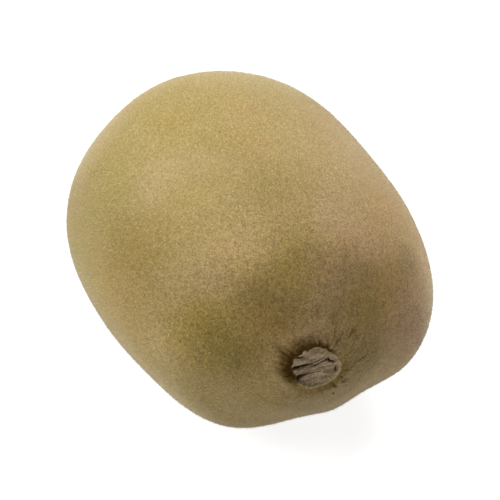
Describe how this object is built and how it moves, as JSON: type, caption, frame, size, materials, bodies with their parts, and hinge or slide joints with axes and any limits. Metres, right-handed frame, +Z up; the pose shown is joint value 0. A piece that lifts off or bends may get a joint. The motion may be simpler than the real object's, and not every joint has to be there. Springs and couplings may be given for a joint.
{
  "type": "kiwi fruit",
  "caption": "Whole kiwi fruit lying on its side: a plump oval body with a low nub and a round dry stem scar at one end.",
  "frame": {"origin": "on the surface that the fruit lies on, under the middle of its box", "axes": "+X along the fruit's length towards the stem end, +Z up from the surface it lies on"},
  "size_m": [0.0682, 0.057, 0.0495],
  "materials": {
    "skin": "matt golden-brown skin covered with very short soft hairs"
  },
  "bodies": {
    "root": {"kiwi_fruit": "skin"}
  },
  "joints": []
}
